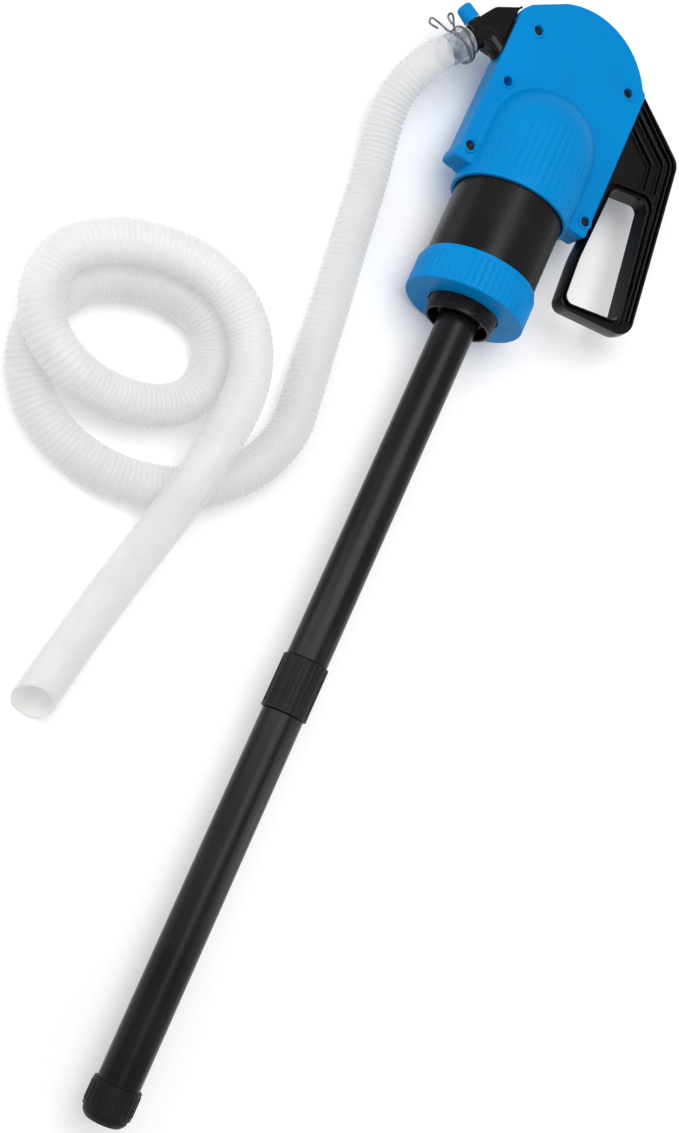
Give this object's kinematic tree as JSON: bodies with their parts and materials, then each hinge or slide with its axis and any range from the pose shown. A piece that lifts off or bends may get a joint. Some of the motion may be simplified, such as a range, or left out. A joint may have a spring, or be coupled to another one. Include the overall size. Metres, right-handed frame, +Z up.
{
  "type": "lever drum pump",
  "caption": "Lever-action piston drum pump lying flat, with bung collar, long suction tube, D-handle lever, angled spout and a coiled corrugated delivery hose.",
  "frame": {"origin": "centre of the footprint of the pump without its hose, on the surface that it lies on", "axes": "+Y along the pump axis towards the head, +X towards the lever handle, +Z up out of the surface"},
  "size_m": [0.4679, 0.9812, 0.104],
  "materials": {
    "blue_plastic": "satin moulded",
    "black_plastic": "satin moulded",
    "dark_plastic": "satin moulded",
    "white_plastic": "machined",
    "rubber": "smooth",
    "steel": "bright zinc",
    "clear_hose": "translucent"
  },
  "bodies": {
    "pump_body": {"collar": "blue_plastic", "bung_nipple": "black_plastic", "base_gasket": "rubber", "inlet_plate": "dark_plastic", "suction_tube_upper": "black_plastic", "suction_tube_lower": "black_plastic", "tube_coupling": "dark_plastic", "foot_strainer": "dark_plastic", "barrel": "black_plastic", "cylinder_head": "dark_plastic", "rod_seal": "rubber", "outlet_duct": "dark_plastic", "front_cover": "blue_plastic", "rear_cover": "blue_plastic", "cover_screw_upper_left": "steel", "cover_screw_lower_left": "steel", "cover_screw_lower_right": "steel", "cover_screw_fulcrum": "steel", "fulcrum_bush": "steel", "spout": "black_plastic", "hose_cuff": "clear_hose", "hose_lead": "clear_hose", "hose_outer_turn": "clear_hose", "hose_inner_turn": "clear_hose", "hose_upper_turn": "clear_hose", "hose_tail": "clear_hose", "hose_clamp": "steel"},
    "lever": {"lever": "black_plastic"},
    "piston": {"piston": "white_plastic", "piston_seal": "rubber", "piston_rod": "steel", "rod_pin": "steel"},
    "piston_valve": {"piston_valve": "rubber"},
    "inlet_valve": {"inlet_valve": "rubber"},
    "foot_valve": {"foot_valve": "rubber"},
    "vent_cap": {"vent_cap": "blue_plastic"}
  },
  "joints": [
    {"name": "lever_swing", "type": "hinge", "parent": "pump_body", "child": "lever", "pos_m": [0.0366, 0.44337, 0.052], "axis": [0, 0, 1], "range_deg": [0, 48]},
    {"name": "piston_slide", "type": "slide", "parent": "pump_body", "child": "piston", "axis": [0, -1, 0], "range_m": [0, 0.0465]},
    {"name": "piston_valve_lift", "type": "slide", "parent": "piston", "child": "piston_valve", "axis": [0, 1, 0], "range_m": [0, 0.003]},
    {"name": "inlet_valve_lift", "type": "slide", "parent": "pump_body", "child": "inlet_valve", "axis": [0, 1, 0], "range_m": [0, 0.0028]},
    {"name": "foot_valve_lift", "type": "slide", "parent": "pump_body", "child": "foot_valve", "axis": [0, 1, 0], "range_m": [0, 0.005]},
    {"name": "vent_cap_turn", "type": "hinge", "parent": "pump_body", "child": "vent_cap", "pos_m": [-0.112, 0.42417, 0.052], "axis": [-0.9099, 0.4149, 0], "range_deg": [0, 270]}
  ],
  "couplings": [
    {"joint": "piston_slide", "follows": "lever_swing", "m_per_rad": 0.05527}
  ]
}
